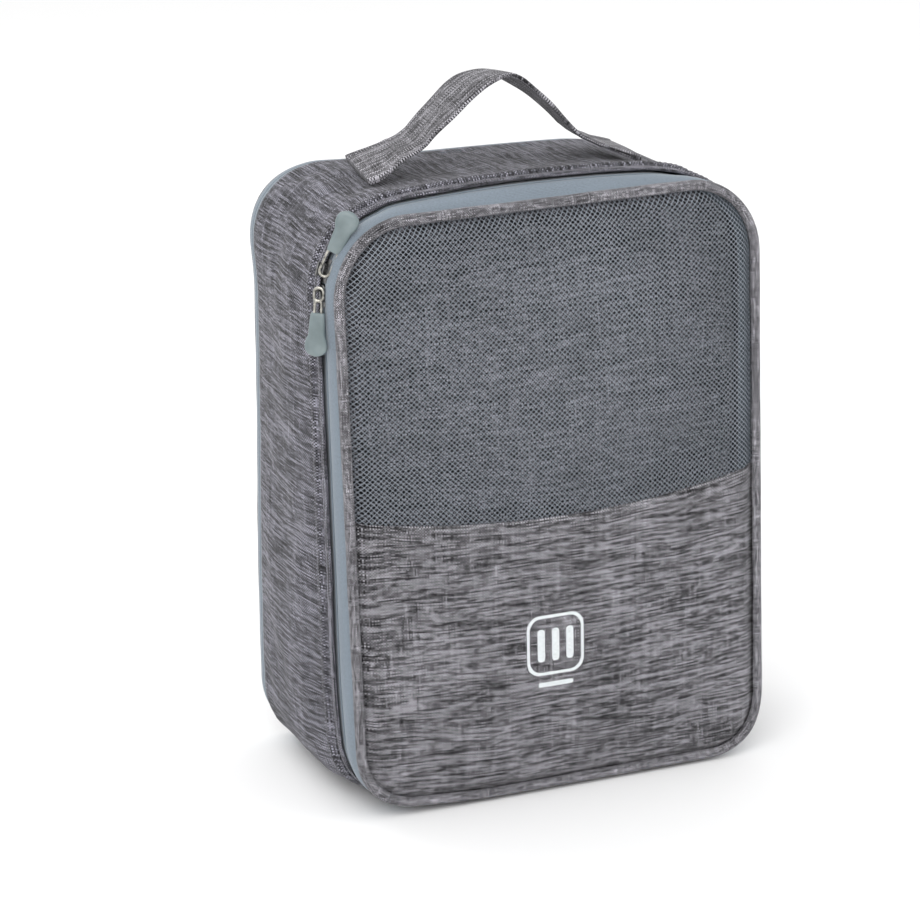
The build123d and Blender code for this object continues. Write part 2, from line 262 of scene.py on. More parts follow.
def two_sheets(name, front, back, cloth, material):
    """A closed piece from two grids of points (rows, columns, 3) that are joined at their rim."""
    rows, columns = front.shape[:2]
    n = rows * columns
    faces = grid_faces(rows, columns)
    loop = (
        list(range(columns))
        + [i * columns + columns - 1 for i in range(1, rows)]
        + [(rows - 1) * columns + j for j in reversed(range(columns - 1))]
        + [i * columns for i in reversed(range(1, rows - 1))]
    )
    rim = [(a, b, b + n, a + n) for a, b in zip(loop, loop[1:] + loop[:1])]
    marks = cloth.reshape(-1, 2)
    return mesh_piece(
        name, np.vstack([front.reshape(-1, 3), back.reshape(-1, 3)]),
        [tuple(f[::-1]) for f in faces] + [tuple(f + n) for f in faces] + rim,
        np.vstack([marks, marks]), material,
    )


def thin(name, grid, cloth, thickness, material):
    """A sheet of cloth from a grid of points (rows, columns, 3), with a true thickness."""
    normal = np.cross(np.gradient(grid, axis=0), np.gradient(grid, axis=1))
    normal /= np.maximum(np.linalg.norm(normal, axis=-1, keepdims=True), 1e-12)
    return two_sheets(name, grid, grid - normal * thickness, cloth, material)


# ---- Cloth simulation ----
def settle(name, grid, pinned, pressure, excess, frames, cap):
    """The displacement of a pinned sheet of cloth, simulated from a grid of points."""
    rows, columns = grid.shape[:2]
    mesh = bpy.data.meshes.new(name)
    faces = [tuple(f) for f in grid_faces(rows, columns)]
    mesh.from_pydata([tuple(p) for p in grid.reshape(-1, 3)], [], faces)
    obj = collection_link(bpy.data.objects.new(name, mesh))
    group = obj.vertex_groups.new(name="sewn")
    group.add([int(k) for k in np.flatnonzero(pinned.ravel())], 1.0, "REPLACE")
    modifier = obj.modifiers.new("cloth", "CLOTH")
    cloth = modifier.settings
    cloth.quality = 6
    cloth.mass = 0.12
    cloth.tension_stiffness = cloth.compression_stiffness = 14.0
    cloth.shear_stiffness = 4.0
    cloth.bending_stiffness = 0.6
    cloth.air_damping = 4.0
    cloth.vertex_group_mass = "sewn"
    cloth.shrink_min = -excess
    cloth.use_pressure = True
    cloth.uniform_pressure_force = pressure
    cloth.effector_weights.gravity = 0.05
    modifier.collision_settings.use_collision = False
    modifier.point_cache.frame_start = 1
    modifier.point_cache.frame_end = frames
    scene = bpy.context.scene
    for f in range(1, frames + 1):
        scene.frame_set(f)
    depsgraph = bpy.context.evaluated_depsgraph_get()
    result = obj.evaluated_get(depsgraph).to_mesh()
    co = np.zeros(len(result.vertices) * 3, np.float32)
    result.vertices.foreach_get("co", co)
    scene.frame_set(1)
    bpy.data.objects.remove(obj)
    moved = co.reshape(rows, columns, 3).astype(float) - grid
    moved[pinned] = 0
    length = np.linalg.norm(moved, axis=-1, keepdims=True)
    return moved * np.minimum(1, cap / np.maximum(length, 1e-9))


class Field:
    """A displacement kept on a regular grid, read anywhere by smooth interpolation."""

    def __init__(self, values, low, high):
        self.values, self.low, self.high = values, np.array(low, float), np.array(high, float)

    def __call__(self, a, b):
        rows, columns = self.values.shape[:2]
        r = np.clip((np.asarray(a) - self.low[0]) / (self.high[0] - self.low[0]), 0, 1) * (rows - 1)
        c = np.clip((np.asarray(b) - self.low[1]) / (self.high[1] - self.low[1]), 0, 1) * (columns - 1)
        i, j = np.minimum(r.astype(int), rows - 2), np.minimum(c.astype(int), columns - 2)
        u, v = (r - i)[..., None], (c - j)[..., None]
        grid = self.values
        return (
            grid[i, j] * (1 - u) * (1 - v) + grid[i + 1, j] * u * (1 - v)
            + grid[i, j + 1] * (1 - u) * v + grid[i + 1, j + 1] * u * v
        )


def blurred(values, times=1):
    for _ in range(times):
        padded = np.pad(values, ((1, 1), (1, 1), (0, 0)), mode="edge")
        values = (
            padded[:-2, 1:-1] + padded[2:, 1:-1] + padded[1:-1, :-2] + padded[1:-1, 2:] + 4 * values
        ) / 8
    return values


def inside_rounded(x, z, half, low, high):
    """How far inside a skin's rounded frame each point is. It is negative outside."""
    r = np.where(z > (low + high) / 2, skin_round_top, skin_round_bottom)
    dx = np.abs(x) - (half - r)
    dz = np.where(z > (low + high) / 2, z - (high - r), (low + r) - z)
    corner = np.hypot(np.maximum(dx, 0), np.maximum(dz, 0)) + np.minimum(np.maximum(dx, dz), 0)
    return r - corner


def skin_field(name, half, low, high, direction, pressure, excess, cap):
    """The bulge of a flat skin that is sewn all round its edge, as a displacement over X and Z."""
    spacing = 5 * MM
    nz, nx = int((high - low) / spacing) + 1, int(2 * half / spacing) + 1
    z, x = np.meshgrid(np.linspace(low, high, nz), np.linspace(-half, half, nx), indexing="ij")
    depth = inside_rounded(x, z, half, low, high)
    pinned = depth < 1 * MM
    grid = np.stack([x, np.zeros_like(x), z], axis=-1)
    order = grid if direction < 0 else grid[:, ::-1]
    moved = settle(name, order, pinned if direction < 0 else pinned[:, ::-1], pressure, excess, 24, cap)
    if direction > 0:
        moved = moved[:, ::-1]
    return Field(blurred(moved, 2), (low, -half), (high, half))


# ---- Materials ----
class Nodes:
    """A short way to write a material's nodes."""

    def __init__(self, name):
        self.material = bpy.data.materials.new(name)
        self.material.use_nodes = True
        self.tree = self.material.node_tree
        self.shader = self.tree.nodes["Principled BSDF"]

    def node(self, kind, inputs=(), **settings):
        made = self.tree.nodes.new(kind)
        for key, value in settings.items():
            setattr(made, key, value)
        for key, value in dict(inputs).items():
            if isinstance(value, bpy.types.NodeSocket):
                self.tree.links.new(value, made.inputs[key])
            else:
                made.inputs[key].default_value = value
        return made

    def math(self, operation, *values):
        return self.node("ShaderNodeMath", dict(enumerate(values)), operation=operation).outputs[0]

    def add(self, a, b):
        return self.math("ADD", a, b)

    def times(self, a, b):
        return self.math("MULTIPLY", a, b)

    def line(self, a, slope, start):
        """a * slope + start."""
        return self.math("MULTIPLY_ADD", a, slope, start)

    def swing(self, value, share):
        """How far a noise is from its middle, times a share."""
        return self.times(self.math("SUBTRACT", value, 0.5), share)

    def cloth(self):
        """The place in the flat cloth, in millimetres."""
        place = self.node("ShaderNodeAttribute", attribute_name="cloth").outputs["Vector"]
        return self.scaled(place, (1000, 1000, 1000))

    def place(self):
        """The place in the frame, in millimetres."""
        place = self.node("ShaderNodeNewGeometry").outputs["Position"]
        return self.scaled(place, (1000, 1000, 1000))

    def multiplied(self, a, b):
        made = self.node("ShaderNodeMix", data_type="RGBA", blend_type="MULTIPLY")
        for index, value in ((6, a), (7, b)):
            self.tree.links.new(value, made.inputs[index])
        made.inputs[0].default_value = 1.0
        return made.outputs[2]

    def ramp(self, factor, stops):
        made = self.node("ShaderNodeValToRGB", {0: factor})
        elements = made.color_ramp.elements
        while len(elements) < len(stops):
            elements.new(0.5)
        for element, (position, colour) in zip(elements, stops):
            element.position = position
            element.color = colour
        return made.outputs[0]

    def scaled(self, vector, scale):
        made = self.node("ShaderNodeVectorMath", {0: vector, 1: scale}, operation="MULTIPLY")
        return made.outputs[0]

    def noise(self, vector, detail=2.0, rough=0.5, offset=None):
        if offset is not None:
            vector = self.node(
                "ShaderNodeVectorMath", {0: vector, 1: offset}, operation="ADD").outputs[0]
        return self.node(
            "ShaderNodeTexNoise", {"Vector": vector, "Scale": 1.0, "Detail": detail, "Roughness": rough},
        ).outputs[0]

    def set(self, **values):
        names = {
            "color": "Base Color", "rough": "Roughness", "metal": "Metallic", "sheen": "Sheen Weight",
            "sheen_rough": "Sheen Roughness", "specular": "Specular IOR Level", "normal": "Normal",
            "subsurface": "Subsurface Weight", "radius": "Subsurface Radius", "scatter": "Subsurface Scale",
            "coat": "Coat Weight", "coat_rough": "Coat Roughness",
        }
        for key, value in values.items():
            socket = self.shader.inputs[names[key]]
            if isinstance(value, bpy.types.NodeSocket):
                self.tree.links.new(value, socket)
            else:
                socket.default_value = value
        return self.material

    def bumped(self, height, strength, distance):
        inputs = {"Height": height, "Strength": strength, "Distance": distance}
        return self.node("ShaderNodeBump", inputs).outputs[0]


def grey(v, tint):
    return (v * tint[0], v * tint[1], v * tint[2], 1.0)


def heather(name, tone=1.0, tint=(1.0, 0.975, 1.06), streak=1.0, reach=1.0, pitch=0.72):
    """A slubbed, mixed-grey plain weave. The long slubs run along the cloth's first direction."""
    n = Nodes(name)
    mm = n.cloth()
    wander = n.noise(n.scaled(mm, (0.02, 0.02, 1)), 1.0)
    shift = n.node("ShaderNodeCombineXYZ", {1: n.times(wander, 4.0)}).outputs[0]
    bent = n.node("ShaderNodeVectorMath", {0: mm, 1: shift}, operation="ADD").outputs[0]
    parts = n.node("ShaderNodeSeparateXYZ", {0: bent})
    along, across = parts.outputs[0], parts.outputs[1]
    row = n.math("FLOOR", n.math("DIVIDE", across, pitch))
    column = n.math("FLOOR", n.math("DIVIDE", along, pitch))

    def yarns(index, length, frequency, seed, weight, detail=2.0):
        """How much lighter or darker than the mean each yarn is along its own length."""
        place = n.node("ShaderNodeCombineXYZ", {
            0: n.line(length, frequency, seed), 1: n.times(index, 3.63), 2: seed})
        shade = n.noise(place.outputs[0], detail, 0.6)
        return n.swing(shade, weight)

    weft = n.add(yarns(row, along, 0.055 * reach, 3.3, 2.3 * streak),
                  yarns(row, along, 0.30 * reach, 19.4, 1.3, 1.0))
    warp = n.add(yarns(column, across, 0.04 * reach, 41.4, 2.0),
                  yarns(column, across, 0.5, 57.4, 1.1, 1.0))
    # Dark slubs: a yarn that stays dark for a centimetre or two.
    dark = n.times(n.math("SUBTRACT", yarns(row, along, 0.075 * reach, 73.0, 1.0), 0.075), 10.0)
    dark.node.use_clamp = True
    slub = n.noise(n.scaled(bent, (0.05 * reach, 1.1, 1)), 2.0, 0.5, (11.0, 5.0, 0))
    cloud = n.noise(n.scaled(mm, (0.02, 0.06, 1)), 2.0, 0.5, (90.0, 4.0, 0))
    # Plain weave: warp and weft take turns on top.
    a = n.math("SINE", n.times(along, math.pi / pitch))
    b = n.math("SINE", n.times(across, math.pi / pitch))
    turn = n.times(a, b)
    top = n.line(turn, 2.2, 0.62)
    top.node.use_clamp = True
    under = n.math("SUBTRACT", 1.0, top)
    value = n.add(n.times(weft, top), n.times(warp, under))
    value = n.add(value, n.times(under, -0.42))
    value = n.add(value, n.times(n.times(dark, top), -0.40 * streak))
    value = n.add(value, n.swing(slub, 0.14 * streak))
    value = n.add(value, n.swing(cloud, 0.30))
    value = n.add(value, 0.72)
    colour = n.ramp(value, [
        (0.05, grey(0.012 * tone, tint)), (0.30, grey(0.042 * tone, tint)),
        (0.52, grey(0.128 * tone, tint)), (0.74, grey(0.29 * tone, tint)),
        (1.0, grey(0.60 * tone, tint)),
    ])
    # Painted shade and highlight: the colour is darkened in the gaps between the yarns and lightened on
    # their crowns.
    gaps = n.times(n.math("ABSOLUTE", a), n.math("ABSOLUTE", b))
    shade = n.line(n.math("POWER", gaps, 0.5), 0.50, 0.66)
    grey_shade = n.node("ShaderNodeCombineColor", {0: shade, 1: shade, 2: shade}).outputs[0]
    colour = n.multiplied(colour, grey_shade)
    relief = n.add(n.times(gaps, 0.8), n.times(value, 0.9))
    normal = n.bumped(relief, 0.5, 0.0002)
    rough = n.line(value, -0.12, 0.90)
    return n.set(color=colour, rough=rough, sheen=0.10, sheen_rough=0.5, specular=0.2, normal=normal)


def ribbed_tape(name, colour, dark=0.70):
    """A woven zip tape: fine ribs across it, a herringbone in each rib and a soft sheen."""
    n = Nodes(name)
    mm = n.cloth()
    parts = n.node("ShaderNodeSeparateXYZ", {0: mm})
    rib = n.math("SINE", n.times(parts.outputs[1], 2 * math.pi / 0.75))
    slope = n.add(n.times(parts.outputs[0], 1.0), n.times(rib, 0.3))
    twill = n.math("SINE", n.times(slope, 2 * math.pi / 0.7))
    fibres = n.noise(n.scaled(mm, (0.9, 2.4, 1)), 2.0)
    patch = n.noise(n.scaled(mm, (0.03, 0.25, 1)), 2.0, 0.5, (5.0, 71.0, 0))
    value = n.add(n.times(twill, 0.22), n.times(rib, 0.16))
    value = n.add(value, n.swing(fibres, 1.3))
    value = n.add(value, n.swing(patch, 0.35))
    factor = n.add(value, 0.5)
    low = tuple(c * dark for c in colour) + (1,)
    high = tuple(min(1, c * 1.32) for c in colour) + (1,)
    tone = n.ramp(factor, [(0.0, low), (0.5, tuple(colour) + (1,)), (1.0, high)])
    normal = n.bumped(factor, 0.5, 0.00018)
    return n.set(color=tone, rough=n.line(factor, -0.1, 0.68), sheen=0.25,
                 sheen_rough=0.4, specular=0.3, normal=normal)


def yarn(name, colour, shine=0.45):
    """Smooth synthetic filament, for the net, the stitching and the zip coils."""
    n = Nodes(name)
    mm = n.place()
    filaments = n.noise(n.scaled(mm, (5.0, 5.0, 5.0)), 2.0)
    patch = n.noise(n.scaled(mm, (0.05, 0.05, 0.05)), 2.0, 0.5, (4.0, 40.0, 0))
    value = n.add(n.times(filaments, 0.7), n.times(patch, 0.3))
    tone = n.ramp(value, [
        (0.3, tuple(c * 0.72 for c in colour) + (1,)), (0.5, tuple(colour) + (1,)),
        (0.7, tuple(min(1, c * 1.25) for c in colour) + (1,)),
    ])
    normal = n.bumped(filaments, 0.35, 0.0001)
    return n.set(color=tone, rough=n.line(filaments, 0.2, shine - 0.1),
                 specular=0.4, normal=normal)


def metal(name, plating):
    """Plated zinc: fine brushing and small dull patches."""
    n = Nodes(name)
    mm = n.place()
    brushed = n.noise(n.scaled(mm, (1.2, 9.0, 1.2)), 3.0)
    patch = n.noise(n.scaled(mm, (0.5, 0.5, 0.5)), 3.0, 0.5, (8.0, 2.0, 0))
    stops = ((0.3, 0.16), (0.5, 0.38), (0.75, 0.66))
    tone = n.ramp(patch, [(at, tuple(share * c for c in plating) + (1,)) for at, share in stops])
    rough = n.add(n.times(brushed, 0.16), n.line(patch, 0.2, 0.12))
    return n.set(color=tone, rough=rough, metal=1.0, normal=n.bumped(brushed, 0.25, 0.00008))


def rubber(name):
    """Moulded, slightly clear rubber with a satin skin."""
    n = Nodes(name)
    mm = n.place()
    cloudy = n.noise(n.scaled(mm, (0.12, 0.12, 0.12)), 3.0)
    grain = n.noise(n.scaled(mm, (4.0, 4.0, 4.0)), 2.0)
    tone = n.ramp(cloudy, [(0.3, (0.140, 0.178, 0.185, 1)), (0.7, (0.200, 0.245, 0.252, 1))])
    rough = n.line(grain, 0.25, 0.26)
    return n.set(color=tone, rough=rough, subsurface=0.25, radius=(0.6, 0.8, 1.0), scatter=0.002,
                 coat=0.12, coat_rough=0.3, normal=n.bumped(grain, 0.18, 0.00012))


def print_ink(name):
    """Screen-print ink that has sunk a little into the weave below it."""
    n = Nodes(name)
    mm = n.cloth()
    parts = n.node("ShaderNodeSeparateXYZ", {0: mm})
    along = n.math("SINE", n.times(parts.outputs[0], 2 * math.pi / 1.04))
    across = n.math("SINE", n.times(parts.outputs[1], 2 * math.pi / 1.04))
    turn = n.times(along, across)
    worn = n.noise(n.scaled(mm, (0.5, 2.2, 1)), 3.0)
    value = n.add(n.times(turn, 0.12), worn)
    tone = n.ramp(value, [(0.22, (0.42, 0.45, 0.46, 1)), (0.42, (0.62, 0.655, 0.67, 1)),
                          (0.75, (0.74, 0.77, 0.785, 1))])
    return n.set(color=tone, rough=n.line(worn, 0.3, 0.4), specular=0.3,
                 normal=n.bumped(value, 0.5, 0.0002))


def floor_paint(name):
    n = Nodes(name)
    place = n.node("ShaderNodeNewGeometry").outputs["Position"]
    cloudy = n.noise(n.scaled(place, (2.0, 2.0, 2.0)), 2.0)
    tone = n.ramp(cloudy, [(0.0, (0.93, 0.93, 0.93, 1)), (1.0, (0.96, 0.96, 0.96, 1))])
    return n.set(color=tone, rough=n.line(cloudy, 0.1, 0.85), specular=0.1)


front_cloth = heather("heather_front", tone=0.77)
side_cloth = heather("heather_side", tone=0.58, tint=(1.0, 0.985, 1.16), reach=0.55)
strap_cloth = heather("heather_strap", tone=0.83, streak=0.9, reach=0.7)
binding_cloth = heather("heather_binding", tone=0.92, streak=0.4, pitch=0.62)
lining_cloth = heather("divider_cloth", tone=0.55, tint=(1.0, 0.985, 1.10), streak=0.8)
tape_cloth = ribbed_tape("zip_tape", (0.180, 0.218, 0.258))
trim_cloth = ribbed_tape("lining_trim", (0.10, 0.112, 0.13))
coil_plastic = yarn("zip_coil", (0.13, 0.16, 0.185))
net_yarn = yarn("net_yarn", (0.205, 0.228, 0.26), 0.5)
thread_yarn = yarn("sewing_thread", (0.13, 0.128, 0.14), 0.6)
metal_plate = metal("nickel_metal", (1.0, 0.97, 0.88))
slider_metal = metal("gunmetal", (0.42, 0.42, 0.42))
pull_rubber = rubber("pull_rubber")
mark_ink = print_ink("print_ink")


# ---- The simulated skins ----
panel_half = panel_high.x + 1.6 * MM
skin_low = panel_low.z - 1.6 * MM
skin_high = net_high.z + 1.6 * MM
front_bulge = skin_field("front_skin", panel_half, skin_low, skin_high, -1, 2.6, 0.006, 11.5 * MM)
rear_bulge = skin_field("rear_skin", panel_half, skin_low, skin_high, 1, 1.6, 0.003, 9 * MM)
divider_half = divider_high.x - 0.2 * MM
divider_bulge = skin_field("divider_skin", divider_half, divider_low.z, divider_high.z, -1, 14.0, 0.10,
                           34 * MM)

side_p, side_n, side_s = outline(0.0, 5 * MM)
rib_y = np.linspace(-35 * MM, gusset_high.y, 18)


def gusset_field():
    """The slack of the gusset between its two long seams, as a displacement over length and depth."""
    rows, columns = len(side_p), len(rib_y)
    grid = np.zeros((rows, columns, 3))
    grid[..., 0] = side_p[:, :1]
    grid[..., 2] = side_p[:, 1:]
    grid[..., 1] = rib_y[None]
    slack = np.random.default_rng(3).normal(size=(rows, columns)) * 0.4 * MM
    start = grid.copy()
    start[..., 0] += side_n[:, :1] * slack
    start[..., 2] += side_n[:, 1:] * slack
    pinned = np.zeros((rows, columns), bool)
    pinned[:, 0] = pinned[:, -1] = True
    pinned[0] = pinned[-1] = True
    start[pinned] = grid[pinned]
    moved = settle("gusset_skin", start[:, ::-1], pinned[:, ::-1], 0.5, 0.006, 22, 4.5 * MM)[:, ::-1]
    moved = moved + (start - grid)
    return Field(blurred(moved, 1), (0, rib_y[0]), (side_s[-1], rib_y[-1]))


gusset_slack = gusset_field()


def skin_point(bulge, x, z, edge_y, dip, out):
    """A point on a skin. Its edge lies on the middle of the binding and it dips just inside that."""
    x, z = np.asarray(x, float), np.asarray(z, float)
    d = bulge(z, x)
    edge = inside_rounded(x, z, panel_half, skin_low, skin_high)
    y = edge_y + dip * ramp(edge, 1.2 * MM, 7 * MM) + out
    return xyz(x + d[..., 0], y + d[..., 1], z + d[..., 2])


def front_point(x, z, out=0.0):
    return skin_point(front_bulge, x, z, panel_high.y + 1.5 * MM, -3.4 * MM, -out)


def rear_point(x, z):
    return skin_point(rear_bulge, x, z, rear_panel_low.y - 1.5 * MM, 3.2 * MM, 0.0)


def side_point(p, n, s, y, out=0.0):
    """A point on the gusset: out is its height above the bag's outline. Arrays are spread as needed."""
    y = np.asarray(y, float)
    d = gusset_slack(s, y) * ramp(p[..., 1], 1 * MM, 25 * MM)[..., None]
    lift = crown(p[..., 0], y) * np.clip(n[..., 1], 0, 1)
    x = p[..., 0] + n[..., 0] * (out + lift)
    z = p[..., 1] + n[..., 1] * (out + lift)
    return xyz(x + d[..., 0], y + d[..., 1], z + d[..., 2])


# ---- The gusset ----
GUSSET_THICK = 1.9 * MM
FLAT_OUT = -0.9 * MM
RIDGE_OUT = 0.45 * MM


def ridge_share(s):
    """The ridge's height over its full height: it fades out over the bottom corners."""
    return 0.35 + 0.65 * ramp(s, 10 * MM, 45 * MM) * ramp(s[-1] - s, 10 * MM, 45 * MM)


def above_floor(p):
    """0 where the gusset meets the base, 1 clear of the floor."""
    return ramp(p[:, 1], 0.5 * MM, 14 * MM)


def gusset():
    p, n, s = outline(0.0, 2.5 * MM)
    front, back = gusset_low.y, gusset_high.y
    # Depth, height above the outline. The ridge behind the placket is a seam allowance sewn down.
    section = [
        (front, -1.2), (-40.6 * MM, -1.1), (-39.6 * MM, -0.75), (-39.0 * MM, -0.2), (-38.2 * MM, 0.25),
        (-37.2 * MM, 0.45), (-36.2 * MM, 0.35), (-35.5 * MM, -0.1), (-34.9 * MM, -0.75),
        (-34.2 * MM, -0.95), (-33.0 * MM, -0.9),
    ]
    section += [(y, -0.9) for y in np.linspace(-30 * MM, 45 * MM, 34)]
    section += [(48.0 * MM, -1.0), (back, -1.15)]
    y, out = np.array(section).T
    out = out * MM
    ridge = (y > -40.5 * MM) & (y < -34.2 * MM)
    out = np.where(ridge[None], FLAT_OUT + (out - FLAT_OUT) * ridge_share(s)[:, None], out[None])
    out = out - GUSSET_THICK * (1 - above_floor(p))[:, None]
    S, Y = np.broadcast_arrays(s[:, None], y[None])
    grid = side_point(p[:, None], n[:, None], S, Y, out)
    cloth = np.stack([Y, S], axis=-1)
    obj = thin("gusset_cloth", grid[:, ::-1], cloth[:, ::-1], GUSSET_THICK, side_cloth)
    stands_for(obj, "case", ["side_gusset"])


def hoop_sweep(name, section, material, body, node, wave=None):
    """A band along the outline. section is a closed loop of (y, out) in mm."""
    p, n, s = outline(0.0, 2.5 * MM)
    section = np.array(section) * MM
    S, Y, O = np.broadcast_arrays(s[:, None], section[None, :, 0], section[None, :, 1])
    if wave is not None:
        Y, O = wave(S, Y, O)
    lift = crown(p[:, :1], Y) * np.clip(n[:, 1:], 0, 1)
    x = p[:, :1] + n[:, :1] * (O + lift)
    z = p[:, 1:] + n[:, 1:] * (O + lift)
    cloth = np.stack(np.broadcast_arrays(S, distances(section)[None]), axis=-1)
    obj = sweep(name, xyz(x, Y, z), cloth, material)
    return stands_for(obj, body, [node])


def lined(points, thickness):
    """A closed loop in (y, out) millimetres from an open line of points and a thickness below it."""
    line = np.array(points, float)
    tangent = unit(np.gradient(line, axis=0))
    normal = np.stack([-tangent[:, 1], tangent[:, 0]], axis=1)
    return np.vstack([line, (line - normal * thickness)[::-1]])


# ---- Sewing threads ----
def stitches(name, centres, along, up, length, body, radius):
    """Short lock stitches, each a small rounded length of thread that dips at its ends."""
    sides, stations = 6, 5
    angle = np.arange(sides) * 2 * np.pi / sides
    t = np.linspace(-0.5, 0.5, stations)
    thick = radius * np.array([0.45, 0.95, 1.0, 0.95, 0.45])
    dip = radius * 1.5 * np.array([-1.0, -0.15, 0.12, -0.15, -1.0])
    across = np.cross(along, up)
    rings = (
        centres[:, None, None] + along[:, None, None] * (t * length)[:, None, None]
        + up[:, None, None] * (dip[:, None, None] + thick[:, None, None] * np.sin(angle)[:, None])
        + across[:, None, None] * thick[:, None, None] * np.cos(angle)[:, None]
    )
    one = grid_faces(stations, sides, False, True)
    count = len(centres)
    faces = (one[None] + (np.arange(count) * stations * sides)[:, None, None]).reshape(-1, 4)
    obj = mesh_piece(name, rings.reshape(-1, 3), faces, None, thread_yarn)
    if body:
        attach(obj, body)
    return obj


def along_path(points, pitch):
    """Evenly spaced centres and directions along a polyline of 3-D points."""
    length = distances(points)
    at = np.arange(pitch, length[-1] - pitch / 2, pitch)
    centres = np.stack([np.interp(at, length, points[:, k]) for k in range(3)], axis=1)
    ahead = np.stack([np.interp(at + pitch * 0.3, length, points[:, k]) for k in range(3)], axis=1)
    return centres, unit(ahead - centres), at


gusset()

# The placket: a folded strip whose free edge covers the case half of the front zip.
placket_line = [
    (-46.2, -0.95), (-46.9, -0.55), (-47.25, -0.1), (-47.1, 0.35), (-46.4, 0.7), (-45.2, 0.85), (-43.0, 0.8),
    (-41.4, 0.65), (-40.3, 0.4), (-39.7, -0.1), (-39.4, -0.6),
]


def placket_wave(S, Y, O):
    """The lip wavers a little and draws in towards its lower ends."""
    ends = bump(S, 90 * MM) + bump(S - side_s[-1], 90 * MM)
    front = ramp(-Y, 39 * MM, 43 * MM)
    Y = Y + front * (0.45 * MM * np.sin(S / (31 * MM)) + 0.25 * MM * np.sin(S / (9 * MM) + 1.3))
    return Y + front * 0.2 * MM, O - ends * 1.5 * MM * front


placket = hoop_sweep("placket_cloth", lined(placket_line, 0.55), side_cloth, "case", "front_placket",
                     wave=placket_wave)

# ---- Zip tapes ----
def tape_line(start, end, out_start, out_end, bow, count=11):
    t = np.linspace(0, 1, count)
    return [
        (start + (end - start) * k, out_start + (out_end - out_start) * k + bow * 4 * k * (1 - k)) for k in t
    ]


# A tape's thickness is laid to the side that its line is drawn from. The rear tape curls in at its seam.
rear_flap_line = [(64.0, -6.2), (63.0, -4.6), (61.6, -2.7)] + tape_line(60.2, 55.2, -1.2, -0.75, 0.2)
for name, line, thickness, body, node, width in (
    ("front_flap_tape", tape_line(-59.8, -48.02, -3.2, -2.3, 1.8)[::-1], -0.45, "front_flap",
     "front_tape_flap", 0.0112),
    ("front_case_tape", tape_line(-47.98, -37.6, -2.4, -3.1, 0.0), -0.45, "case", "front_tape_case", 0.0103),
    ("rear_case_tape", tape_line(54.8, 44.4, -0.75, -0.45, 0.1), 0.4, "case", "rear_tape_case", 0.0104),
    ("rear_flap_tape", rear_flap_line, 0.4, "rear_flap", "rear_tape_flap", 0.0104),
):
    tape = hoop_sweep(name, lined(line, thickness), tape_cloth, body, node)


# ---- Zip coils ----
def coil(name, y, out, side, body, node):
    """A nylon coil: one filament wound along the tape's edge."""
    pitch, radius_y, radius_o, wire = 1.25 * MM, 0.85 * MM, 0.62 * MM, 0.28 * MM
    p, n, s = outline(0.0, 1.5 * MM)
    keep = (s > 4 * MM) & (s < s[-1] - 4 * MM)
    p, n, s = p[keep], n[keep], s[keep]
    turns, points_per_turn = int((s[-1] - s[0]) / pitch), 7
    phase = np.arange(turns * points_per_turn + 1) / points_per_turn
    px, pz, nx, nz = (np.interp(s[0] + phase * pitch, s, q) for q in (p[:, 0], p[:, 1], n[:, 0], n[:, 1]))
    angle = phase * 2 * np.pi
    lift = out + radius_o * np.sin(angle) + crown(px, np.full_like(px, y)) * np.clip(nz, 0, 1)
    centre = xyz(px + nx * lift, y + side * radius_y * np.cos(angle), pz + nz * lift)
    tangent = unit(np.gradient(centre, axis=0))
    first = unit(np.cross(tangent, xyz(nz, 0.0, -nx)))
    second = np.cross(tangent, first)
    ring = np.arange(4) * np.pi / 2
    rings = centre[:, None] + wire * (
        first[:, None] * np.cos(ring)[:, None] + second[:, None] * np.sin(ring)[:, None])
    obj = mesh_piece(name, rings.reshape(-1, 3), grid_faces(len(centre), 4, False, True), None, coil_plastic)
    stands_for(obj, body, [node])


coil("front_case_teeth", -46.45 * MM, -4.5 * MM, 1, "case", "front_coil_case")
coil("front_flap_teeth", -49.55 * MM, -4.5 * MM, -1, "front_flap", "front_coil_flap")
coil("rear_case_teeth", 53.45 * MM, -2.3 * MM, -1, "case", "rear_coil_case")
coil("rear_flap_teeth", 56.55 * MM, -2.3 * MM, 1, "rear_flap", "rear_coil_flap")


